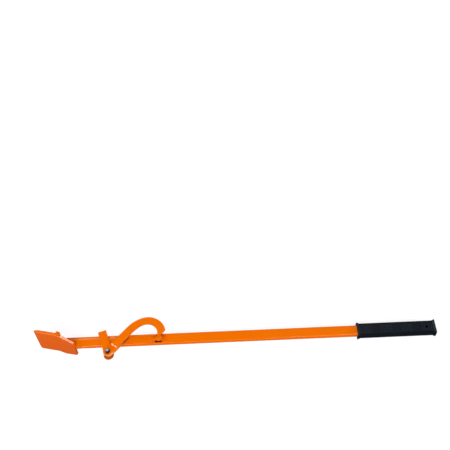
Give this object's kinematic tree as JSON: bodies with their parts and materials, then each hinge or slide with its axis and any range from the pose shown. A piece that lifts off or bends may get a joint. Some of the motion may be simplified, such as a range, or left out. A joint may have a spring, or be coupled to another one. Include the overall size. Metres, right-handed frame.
{
  "type": "felling lever with turning hook",
  "caption": "Long flat steel lever with a wide bent blade and heel bar, a hook that turns on a bolt under the tube and parks in a keeper, and a ribbed black handgrip.",
  "frame": {"origin": "centre of the hanging hole, in the middle of the tube", "axes": "+X along the tube towards the closed end of the grip (the blade points to -X); +Y across the tube towards the side the hook's loop stands on; +Z along the hinge pin, out of the face that carries the hook arm and its keeper"},
  "size_m": [1.3, 0.1313, 0.115],
  "materials": {
    "orange_paint": "glossy orange paint over welded steel",
    "zinc": "bright zinc plating",
    "black_grip": "matt black moulded plastic"
  },
  "bodies": {
    "lever": {"tube": "orange_paint", "blade": "orange_paint", "heel_bar": "orange_paint", "pivot_lug": "orange_paint", "keeper": "orange_paint", "grip": "black_grip"},
    "hook": {"hook_arm": "orange_paint", "front_cheek": "orange_paint", "back_cheek": "orange_paint", "hinge_sleeve": "zinc", "front_thrust_washer": "zinc", "back_thrust_washer": "zinc", "pivot_bolt": "zinc", "head_washer": "zinc", "nut_washer": "zinc", "lock_nut": "zinc"}
  },
  "joints": [
    {"name": "hook_hinge", "type": "hinge", "parent": "lever", "child": "hook", "pos_m": [-1.037, -0.0415, 0], "axis": [0, 0, 1], "range_deg": [0, 108]}
  ]
}
